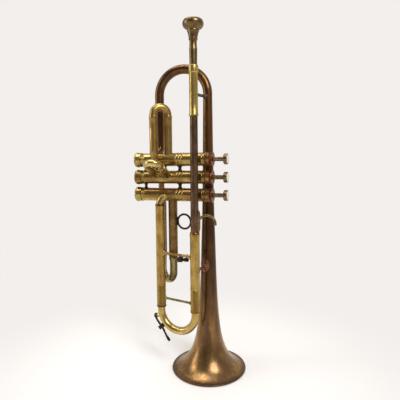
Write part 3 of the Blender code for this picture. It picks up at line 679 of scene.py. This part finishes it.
makeStay("slideBrace", "tuning_brace", (upright(lowerAxis, 118.5), mainSlide["outer"]),
         (upright(leadAxis, 116.5), mainSlide["outer"]),
         "tuning_slide", "dark_brass", oliveBrass, {"foot": 3.2, "bar": 1.8})
makeStay("outerBrace", "outer_brace", (upright(lowerAxis, 190.0), mainSlide["outer"]),
         (upright(leadAxis, 188.0), mainSlide["outer"]),
         "horn", "aged_brass", tarnishedBrass, {"foot": 4.8, "bar": 2.0, "beads": (0.18, 0.86)})
print("main slide made")


# ---- lyre holder under the outer brace

lyre = {"size": (8.0, 8.0, 7.2), "slot": (3.2, 5.0, 9.0)}
lyreMiddle = middleOf("lyre_socket")
piece = block("lyreSocket", lyreMiddle, lyre["size"])
softEdges(piece, 1.1, 3)
shapeWith(piece, block("cutter", lyreMiddle, lyre["slot"]))
shapeWith(piece, rod("cutter", lyreMiddle + Vector((1, 0, 0)), lyreMiddle + Vector((6, 0, 0)), 1.5, 20))
softEdges(piece, 0.25)
keep(piece, "horn", "dark_brass", blackenedBrass, "lyre_socket")
screwRows = ((1.2, -2.2), (1.2, 1.4), (2.3, 1.7), (2.8, 2.3), (2.9, 3.0), (2.9, 8.2), (2.6, 9.0), (1.9, 9.4),
             (1.2, 9.5))
piece = turned("lyreScrew", screwRows, lyreMiddle + Vector((4, 0, 0)), (1, 0, 0), 36, solid=True)
softEdges(piece, 0.2)
keep(piece, "horn", "dark_brass", blackenedBrass, "lyre_screw")


# ---- water key on the crook

waterKey = {
    "pivotTurn": 223.3, "pivotRise": 11.4, "barrel": 2.1, "barrelHalf": 5.0,
    "lever": ((195.5, 13.8, 1.5), (199, 13.9, 1.75), (205, 13.6, 1.6), (213, 12.6, 1.65), (223.3, 11.4, 2.0),
              (230, 12.8, 1.7), (237, 15.2, 1.5), (243, 17.8, 1.6), (248, 20.2, 2.2), (251, 21.8, 2.1),
              (252, 22.6, 1.2)),                          # angle, rise above the bend, radius
}
pivot = onCrook(waterKey["pivotTurn"], crookBend + waterKey["pivotRise"])


def followPoints(name, points, radii, sides=20):          # a bar through points, solid
    way = (points[1] - points[0]).normalized()
    tube = startTube(name, points[0], way, radii[0], sides)
    for index in range(1, len(points)):
        step = points[index] - points[index - 1]
        after = points[index + 1] - points[index] if index + 1 < len(points) else step
        heading = (step.normalized() + after.normalized()).normalized()
        tube["way"] = step.normalized()
        run(tube, step.length)
        turn = tube.get("heading", way).rotation_difference(heading).to_euler("XYZ")
        for letter, angle in zip("XYZ", turn):
            if abs(angle) > 1e-5:                         # with no window the angle counts the other way
                bpy.ops.transform.rotate(value=-angle, orient_axis=letter, orient_type="GLOBAL",
                                         center_override=tube["place"] * mm)
        tube["heading"] = heading
        widen(tube, radii[index])
    return endTube(tube, solid=True)


leverPoints = [onCrook(turn, crookBend + rise) for turn, rise, _ in waterKey["lever"]]
leverRadii = [radius for _, _, radius in waterKey["lever"]]
piece = followPoints("waterKey", leverPoints, leverRadii)
half = crookNormal * waterKey["barrelHalf"]
shapeWith(piece, rod("barrel", pivot - half, pivot + half, waterKey["barrel"], 32), "UNION")
cupWay = (onCrook(nippleTurn, crookBend + 2) - onCrook(nippleTurn, crookBend)).normalized()
cupRows = ((3.6, 11.9), (4.1, 12.2), (4.1, 13.0), (3.6, 13.9), (2.4, 14.4))
cupBase = onCrook(nippleTurn, crookBend)
shapeWith(piece, turned("cup", cupRows, cupBase, cupWay, 36, solid=True), "UNION")
shapeWith(piece, rod("bore", pivot - crookNormal * 8, pivot + crookNormal * 8, 1.0, 20))
softEdges(piece, 0.15)
keep(piece, "water_key", "dark_brass", blackenedBrass, "water_key")
piece = turned("waterKeyCork", ((2.9, 8.5), (3.3, 8.8), (3.3, 11.6), (2.8, 11.85)), cupBase, cupWay, 32,
               solid=True)
keep(piece, "water_key", "cork", cork, "water_key_cork")
pinRows = ((0.8, -7.6), (0.8, 7.1), (1.7, 7.2), (1.75, 7.9), (1.2, 8.2))
piece = turned("waterKeyPin", pinRows, pivot, -crookNormal, 24, solid=True)
keep(piece, "tuning_slide", "spring_steel", springSteel, "water_key_pin")
pivotWay = (pivot - crookMiddle).normalized()
saddleTurn = Matrix((crookNormal.cross(pivotWay), crookNormal, pivotWay)).transposed()
piece = block("waterKeySaddle", onCrook(waterKey["pivotTurn"], crookBend + 9.2), (6.0, 13.6, 8.4), saddleTurn)
softEdges(piece, 0.8, 3)
shapeWith(piece, block("cutter", onCrook(waterKey["pivotTurn"], crookBend + 13.2), (14.0, 10.6, 10.4),
                       saddleTurn))
tube = startTube("cutter", onCrook(195, crookBend),
                 (onCrook(196, crookBend) - onCrook(194, crookBend)).normalized(),
                 mainSlide["crook"] - 0.2, 40)
tube["place"] = onCrook(195, crookBend)
bend(tube, 60, crookBend, crookMiddle - onCrook(195, crookBend), 18)
shapeWith(piece, endTube(tube, solid=True))
shapeWith(piece, rod("cutter", pivot - crookNormal * 10, pivot + crookNormal * 10, 1.0, 20))
softEdges(piece, 0.15)
keep(piece, "tuning_slide", "dark_brass", blackenedBrass, "water_key_saddle")
springPoints = []
for step in range(49):
    turn = math.radians(waterKey["pivotTurn"] + 180 + 15 * step)
    around = crookAlong * math.cos(turn) + up * math.sin(turn)
    springPoints.append(pivot + around * 2.7 + crookNormal * (2.9 + 1.3 * step / 48))
piece = followPoints("waterKeySpring", springPoints, [0.35] * len(springPoints), 8)
keep(piece, "tuning_slide", "spring_steel", springSteel, "water_key_spring")
print("water key made")


# ---- valves

valve = {
    "bottomCap": ((9.65, -0.3), (10.8, -0.3), (10.95, -0.9), (10.95, -4.6), (11.2, -5.4), (11.6, -6.6),
                  (11.6, -9.6), (11.2, -10.2), (10.2, -10.5), (7.0, -10.2), (3.0, -10.0), (1.6, -10.3),
                  (1.6, -8.6), (9.65, -8.0)),
    "topCap": ((9.65, 0.3), (10.6, 0.3), (10.7, 0.8), (10.7, 7.4), (11.2, 8.0), (11.6, 8.6), (11.6, 10.4),
               (11.2, 10.9), (10.4, 11.2), (6.0, 11.1), (4.2, 11.2), (3.5, 10.9), (3.5, 8.2), (9.65, 7.2)),
    "button": ((5.0, -3.7), (5.0, -1.2), (3.2, -0.7), (3.2, 30.6), (4.2, 31.0), (7.5, 31.4), (8.05, 31.9),
               (8.05, 36.4), (7.7, 36.8), (7.1, 36.8), (6.9, 36.4), (6.9, 35.4)),
    "pearl": ((6.5, 35.6), (6.6, 36.9), (6.0, 37.3), (4.6, 37.7), (2.4, 37.95), (0.6, 38.0)),
    "knurls": 60, "knurlDepth": 0.22,
}


def knurl(piece, axisPoint, way, heights, radius):        # press notches into a rim, every second edge
    pick(piece)
    mesh = piece.data
    for vertex in mesh.vertices:
        offset = vertex.co / mm - axisPoint
        height = offset.dot(way)
        flat = offset - way * height
        if heights[0] < height < heights[1] and flat.length > radius - 0.6:
            side = way.orthogonal().normalized()
            turn = math.atan2(flat.dot(way.cross(side)), flat.dot(side))
            step = round(turn / (2 * math.pi) * 2 * valve["knurls"])
            if step % 2:
                vertex.co -= flat.normalized() * valve["knurlDepth"] * mm
    mesh.update()


casingRows = [(casing["bore"], 0.0), (casing["neck"], 0.0), (casing["neck"], 4.0), (10.0, 4.2), (10.1, 4.6),
              (10.1, 8.6), (10.4, 8.9), (10.4, 9.7), (10.1, 10.0)]
leftEnd = lowOf("casing_1").x
for bead in casing["beads"]:
    start = bead + bellAxis.x - leftEnd
    casingRows += [(10.1, start - 0.9), (10.45, start - 0.6), (10.6, start), (10.45, start + 0.6),
                   (10.1, start + 0.9)]
rightEnd = highOf("casing_1").x - leftEnd
casingRows += [(10.1, rightEnd - 9.0), (10.4, rightEnd - 8.7), (10.4, rightEnd - 7.9), (10.1, rightEnd - 7.6),
               (10.1, rightEnd - 4.6), (10.0, rightEnd - 4.2), (casing["neck"], rightEnd - 4.0),
               (casing["neck"], rightEnd), (casing["bore"], rightEnd)]

for number in (1, 2, 3):
    axis = valveAxis[number - 1]
    start = Vector((leftEnd, axis.y, axis.z))
    piece = turned("casing%d" % number, casingRows, start, valveWay, casing["sides"])
    softEdges(piece, 0.2)
    keep(piece, "horn", "aged_brass", casingBrass, "casing_%d" % number)
    piece = turned("bottomCap%d" % number, valve["bottomCap"], start + valveWay * 4, valveWay,
                   2 * valve["knurls"])
    softEdges(piece, 0.2)
    knurl(piece, start, valveWay, (-6.0, -2.2), 11.6)
    keep(piece, "horn", "aged_brass", casingBrass, "bottom_cap_%d" % number)
    capStart = Vector((highOf("casing_%d" % number).x - 4, axis.y, axis.z))
    piece = turned("topCap%d" % number, valve["topCap"], capStart, valveWay, 2 * valve["knurls"])
    softEdges(piece, 0.2)
    knurl(piece, capStart, valveWay, (8.2, 10.8), 11.6)
    keep(piece, "horn", "red_brass", capBrass, "top_cap_%d" % number)
    root = Vector((bellAxis.x, axis.y, axis.z))
    piece = turned("button%d" % number, valve["button"], root, valveWay, 48, solid=True)
    softEdges(piece, 0.2)
    keep(piece, "valve_%d" % number, "aged_brass", stemBrass, "button_%d" % number)
    piece = turned("pearl%d" % number, valve["pearl"], root, valveWay, 40, solid=True)
    keep(piece, "valve_%d" % number, "mother_of_pearl", pearl, "pearl_%d" % number)
    for node, material in (("piston_%d" % number, nickelSilver), ("valve_spring_%d" % number, springSteel)):
        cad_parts[node].data.materials.clear()
        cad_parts[node].data.materials.append(material)

for name, node, radius in (("postUpperLeft", "post_12_left", 2.3), ("postUpperRight", "post_12_right", 2.6),
                           ("postLowerLeft", "post_23_left", 2.3), ("postLowerRight", "post_23_right", 2.6)):
    middle = middleOf(node)
    rows = [(radius + 0.9, -5.0), (radius + 0.9, -3.0), (radius + 0.6, -2.4), (radius, -1.7),
            (radius * 0.94, 0.0),
            (radius, 1.7), (radius + 0.6, 2.4), (radius + 0.9, 3.0), (radius + 0.9, 5.0)]
    piece = turned(name, rows, middle, up, 28, solid=True)
    for index in ((0, 1) if "Upper" in name else (1, 2)):
        fitToCasing(piece, index, 0.2)
    keep(piece, "horn", "dark_brass", blackenedBrass, node)

sideStep = Vector((-14.0, 0, 0))
for name, node, index, radius, step in (("knuckleUpper", "knuckle_12", 0, 5.2, 0),
                                        ("knuckleLower", "knuckle_23", 1, 4.5, 0),
                                        ("knuckleUpperLeft", "knuckle_12", 0, 4.6, 1)):
    middle = middleOf(node) + sideStep * step
    tube = startTube(name, middle - up * 9, up, radius)
    run(tube, 18, None, 4)
    piece = endTube(tube, wall=0.6)
    fitToCasing(piece, index, 0.4)
    fitToCasing(piece, index + 1, 0.4)
    keep(piece, "horn", "aged_brass", casingBrass, node)
print("valves made")


# ---- valve slides

def makeSlide(name, node, body, slot, material, first, second, way, shape):       # U slide in one drawn tube
    towards = second - first
    towards = towards - way * towards.dot(way)
    tube = startTube(name, first + way * shape["leg"], way, shape["inner"])
    run(tube, shape["collar"] - shape["leg"], None, 3)
    run(tube, 0.3, shape["sleeve"] - 0.15)
    run(tube, 0.6, shape["sleeve"])
    run(tube, 4.0)
    run(tube, 0.6, shape["sleeve"] - 0.12)
    run(tube, 0.3, shape["crook"])
    run(tube, shape["start"] - shape["collar"] - 5.8, shape["crook"])
    bend(tube, 180, towards.length / 2, towards, 26)
    run(tube, shape["start"] - shape["collar"] - 5.8, shape["crook"])
    run(tube, 0.3, shape["sleeve"] - 0.12)
    run(tube, 0.6, shape["sleeve"])
    run(tube, 4.0)
    run(tube, 0.6, shape["sleeve"] - 0.15)
    run(tube, 0.3, shape["inner"])
    run(tube, shape["collar"] - shape["leg"], None, 3)
    piece = endTube(tube, wall=0.55)
    return keep(piece, body, slot, material, node)


makeSlide("firstSlide", "first_slide", "first_slide", "aged_brass", tarnishedBrass, upright(firstLeft, 0),
          upright(firstRight, 0), up, {"leg": 352.0, "collar": 394.3, "start": 401.0, "inner": 5.7,
                                       "sleeve": 6.6, "crook": 5.9})
secondWay = Vector((0, -math.cos(math.radians(25)), math.sin(math.radians(25))))
secondRoot = [Vector((x, valveAxis[1].y, valveAxis[1].z)) for x in secondX]
makeSlide("secondSlide", "second_slide", "second_slide", "bright_brass", polishedBrass, secondRoot[0],
          secondRoot[1],
          secondWay, {"leg": 14.0, "collar": 30.3, "start": 41.0, "inner": 4.9, "sleeve": 5.8, "crook": 5.2})
makeSlide("thirdSlide", "third_slide", "third_slide", "aged_brass", oliveBrass, upright(thirdNear, 0),
          upright(thirdFar, 0), -up, {"leg": -238.0, "collar": -182.7, "start": -158.0, "inner": 6.2,
                                      "sleeve": 6.9, "crook": 6.0})

slideTubes = {"firstRadius": 6.4, "secondRadius": 5.6, "thirdRadius": 7.0, "wall": 0.6}


def beadEnd(tube, radius):                                # a rolled bead at the mouth of an outer tube
    run(tube, 0.3, radius + 0.25)
    run(tube, 0.9)
    run(tube, 0.5, radius)


tube = startTube("firstTubeLeft", upright(firstLeft, 394.0), -up, slideTubes["firstRadius"])
beadEnd(tube, slideTubes["firstRadius"])
run(tube, 46.3, None, 4)
bend(tube, 78, 13.0, Vector((0, 1, 0)), 12)
run(tube, 4.0)
piece = endTube(tube, wall=slideTubes["wall"])
fitToCasing(piece, 0)
keep(piece, "horn", "aged_brass", tarnishedBrass, "first_tube_left")

tube = startTube("firstTubeRight", upright(firstRight, 394.0), -up, slideTubes["firstRadius"])
beadEnd(tube, slideTubes["firstRadius"])
run(tube, 54.3, None, 4)
piece = endTube(tube, wall=slideTubes["wall"])
fitToCasing(piece, 0)
keep(piece, "horn", "aged_brass", tarnishedBrass, "first_tube_right")

for name, node, root in (("secondTubeLeft", "second_tube_left", secondRoot[0]),
                         ("secondTubeRight", "second_tube_right", secondRoot[1])):
    tube = startTube(name, root + secondWay * 30, -secondWay, slideTubes["secondRadius"])
    beadEnd(tube, slideTubes["secondRadius"])
    run(tube, 22.3, None, 3)
    piece = endTube(tube, wall=slideTubes["wall"])
    fitToCasing(piece, 1)
    keep(piece, "horn", "aged_brass", casingBrass, node)

tube = startTube("thirdTubeNear", upright(thirdNear, 183.0), up, slideTubes["thirdRadius"])
beadEnd(tube, slideTubes["thirdRadius"])
run(tube, 90.3, None, 6)
piece = endTube(tube, wall=slideTubes["wall"])
fitToCasing(piece, 2)
keep(piece, "horn", "aged_brass", heatedBrass, "third_tube_near")

tube = startTube("thirdTubeFar", upright(thirdFar, 183.0), up, slideTubes["thirdRadius"])
beadEnd(tube, slideTubes["thirdRadius"])
run(tube, 76.0, None, 5)
bend(tube, 76, 18.0, Vector((0, -1, 0)), 12)
run(tube, 4.0)
piece = endTube(tube, wall=slideTubes["wall"])
fitToCasing(piece, 2)
keep(piece, "horn", "aged_brass", heatedBrass, "third_tube_far")
print("valve slides made")


# ---- finger ring, finger hook and stays

ring = {"radius": 11.1, "wire": 1.6, "height": 238.8, "reach": 19.7, "turn": -7.0, "sides": 56}
ringBase = upright(thirdNear, ring["height"])
ringTurn = Matrix.Rotation(math.radians(ring["turn"]), 3, "Z")
ringWay = ringTurn @ Vector((1, 0, 0))
ringMiddle = ringBase + ringWay * ring["reach"]
tube = startTube("fingerRing", ringMiddle + ringWay * ring["radius"], up, ring["wire"], 20)
bend(tube, 360, ring["radius"], -ringWay, ring["sides"])
piece = endTube(tube)
ringFoot = block("foot", ringBase + ringWay * 6.5, (4.6, 6.0, 13.0), ringTurn)
shapeWith(piece, softEdges(ringFoot, 1.0, 3), "UNION")
shapeWith(piece, rod("cutter", upright(thirdNear, 220), upright(thirdNear, 260),
                     slideTubes["thirdRadius"] - 0.1, 48))
keep(piece, "horn", "dark_brass", blackenedBrass, "finger_ring")

hookStart = Vector((leadAxis.x + 5.0, leadAxis.y, 243.0))
hookSteps = ((0, 0, 0), (1.6, 0, 1.9), (3.5, 0, 3.6), (5.7, 0, 5.4), (8.0, 0, 7.0), (11.4, 0, 8.2),
             (15.0, 0, 8.4), (18.6, 0, 7.8), (21.5, 0, 6.4), (24.3, 0, 4.0), (26.0, 0, 1.2),
             (27.1, 0, -2.2), (27.6, 0, -5.6))
hookPath = [hookStart + Vector(step) for step in hookSteps]
hookRadii = [2.0] * 9 + [1.9, 1.8, 1.6, 1.2]
piece = followPoints("fingerHook", hookPath, hookRadii)
footHeights = (226.6, 228.6, 232.0, 242.6, 252.0, 256.4, 258.6)
foot = [Vector((leadAxis.x + 6.2, leadAxis.y, height)) for height in footHeights]
shapeWith(piece, followPoints("foot", foot, [1.2, 2.0, 2.6, 2.7, 2.6, 2.0, 1.2]), "UNION")
shapeWith(piece, rod("cutter", upright(leadAxis, 215), upright(leadAxis, 270), 6.0, 48))
keep(piece, "horn", "aged_brass", stemBrass, "pinky_hook")

makeStay("bellStayUpper", "bell_brace_upper", (upright(leadAxis, 426.0), 6.2),
         (upright(bellAxis, 428.0), 7.1),
         "horn", "dark_brass", brownedBrass, {"foot": 3.6, "bar": 2.2})
lowerStay = {"leadHeight": 165.0, "bellHeight": 170.5, "bellRadius": 12.1}
makeStay("bellStayLower", "bell_brace_lower",
         (upright(leadAxis, lowerStay["leadHeight"]), mainSlide["outer"]),
         (upright(bellAxis, lowerStay["bellHeight"]), lowerStay["bellRadius"]),
         "horn", "dark_brass", copperedBrass, {"foot": 4.6, "bar": 2.0, "farFoot": 4.2})
flange = {                                                # the plate that spreads the lower stay on the bell
    "wide": 8.2, "tall": 11.2, "lift": 0.9,
    "outside": ((12.65, 153.0), (11.75, 188.0)), "inside": ((12.55, 151.0), (11.4, 190.0)),
}
stayWay = upright(leadAxis - bellAxis, 0).normalized()
tube = startTube("bellStayFlange", upright(bellAxis, lowerStay["bellHeight"]), stayWay, flange["wide"], 56)
bpy.ops.transform.resize(value=(1, 1, flange["tall"] / flange["wide"]), center_override=tube["place"] * mm)
run(tube, 24.0)
piece = endTube(tube, solid=True)
raised = [(radius + flange["lift"], height) for radius, height in flange["outside"]]
shapeWith(piece, turned("cutter", raised, upright(bellAxis, 0), up, 96, solid=True), "INTERSECT")
shapeWith(piece, turned("cutter", flange["inside"], upright(bellAxis, 0), up, 96, solid=True))
softEdges(piece, 0.3)
keep(piece, "horn", "dark_brass", copperedBrass, "bell_brace_lower")
pad = middleOf("leadpipe_brace")
piece = turned("leadPipePad", ((5.0, -8.0), (5.2, -7.0), (5.2, 7.0), (5.0, 8.0)),
               Vector((leadAxis.x, pad.y, valveAxis[1].z)),
               (0, 1, 0), 36, solid=True)
shapeWith(piece, rod("cutter", upright(leadAxis, 290), upright(leadAxis, 324), 5.8, 40))
fitToCasing(piece, 1, 0.2)
keep(piece, "horn", "dark_brass", brownedBrass, "leadpipe_brace")
print("hook, ring and stays made")


# ---- floor and soft studio light

studio = {
    "floor": 6.0, "floorColour": "#f6f4f2", "skyColour": "#f2efec", "fadeFrom": 0.10, "fadeTo": 0.42,
}
clearSelection()
bpy.ops.mesh.primitive_plane_add(size=studio["floor"], location=(0, 0, -0.0002))
floor = bpy.context.object
floor.name = "floor"
floorPaint = bpy.data.materials.new("paleTable")  # white table top that runs out into the pale backdrop
floorPaint.use_nodes = True
tree = floorPaint.node_tree
tree.nodes.clear()
place = addNode(tree, "ShaderNodeTexCoord")
reach = addNode(tree, "ShaderNodeVectorMath", {"operation": "LENGTH"}, {"Vector": place.outputs["Object"]})
fade = addNode(tree, "ShaderNodeMapRange",
               {"interpolation_type": "SMOOTHSTEP", "From Min": studio["fadeFrom"],
                "From Max": studio["fadeTo"]},
               {"Value": reach.outputs["Value"]})
paint = addNode(tree, "ShaderNodeBsdfPrincipled",
                {"Base Color": fromHex(studio["floorColour"]), "Roughness": 0.6})
glow = addNode(tree, "ShaderNodeEmission", {"Color": fromHex(studio["skyColour"]), "Strength": 1.0})
surface = addNode(tree, "ShaderNodeMixShader", None, {"Fac": fade.outputs["Result"]})
tree.links.new(paint.outputs["BSDF"], surface.inputs[1])
tree.links.new(glow.outputs["Emission"], surface.inputs[2])
addNode(tree, "ShaderNodeOutputMaterial", None, {"Surface": surface.outputs["Shader"]})
floor.data.materials.append(floorPaint)


def softBox(name, place, target, size, power, colour="#ffffff"):
    bpy.ops.object.light_add(type="AREA", location=place)
    lamp = bpy.context.object
    lamp.name = name
    lamp.data.shape = "RECTANGLE"
    lamp.data.size, lamp.data.size_y = size
    lamp.data.energy = power
    lamp.data.color = fromHex(colour)[:3]
    lamp.rotation_mode = "QUATERNION"
    lamp.rotation_quaternion = (Vector(target) - Vector(place)).to_track_quat("-Z", "Y")
    return lamp


softBox("keyLight", (1.1, -1.0, 1.5), (0, 0, 0.25), (0.7, 0.7), 22)
softBox("topLight", (-0.3, -0.2, 1.9), (0, 0, 0.2), (1.2, 1.2), 16)
softBox("leftLight", (-1.3, -0.6, 0.8), (0, 0, 0.25), (0.5, 1.2), 7)

world = bpy.data.worlds.new("room")
bpy.context.scene.world = world
world.use_nodes = True
tree = world.node_tree
tree.nodes.clear()
look = addNode(tree, "ShaderNodeTexCoord")
apart = addNode(tree, "ShaderNodeSeparateXYZ", None, {"Vector": look.outputs["Generated"]})
front = addNode(tree, "ShaderNodeMapRange", {"From Min": -1.0, "From Max": 1.0, "To Min": 0.0, "To Max": 1.0},
                {"Value": apart.outputs["Y"]})
shade = rampOf(addNode(tree, "ShaderNodeValToRGB", None, {"Fac": front.outputs["Result"]}),
               ((0.0, "#6e665e"), (0.45, "#a8a29a"), (0.75, "#e6e2de"), (1.0, "#f2efec")))
roomLight = addNode(tree, "ShaderNodeBackground", {"Strength": 0.8}, {"Color": shade.outputs["Color"]})
seen = addNode(tree, "ShaderNodeBackground", {"Color": fromHex(studio["skyColour"]), "Strength": 1.0})
path = addNode(tree, "ShaderNodeLightPath")
chosen = addNode(tree, "ShaderNodeMixShader", None, {"Fac": path.outputs["Is Camera Ray"]})
tree.links.new(roomLight.outputs["Background"], chosen.inputs[1])
tree.links.new(seen.outputs["Background"], chosen.inputs[2])
addNode(tree, "ShaderNodeOutputWorld", None, {"Surface": chosen.outputs["Shader"]})
bpy.context.scene.view_settings.view_transform = "Standard"
print("light and floor made")
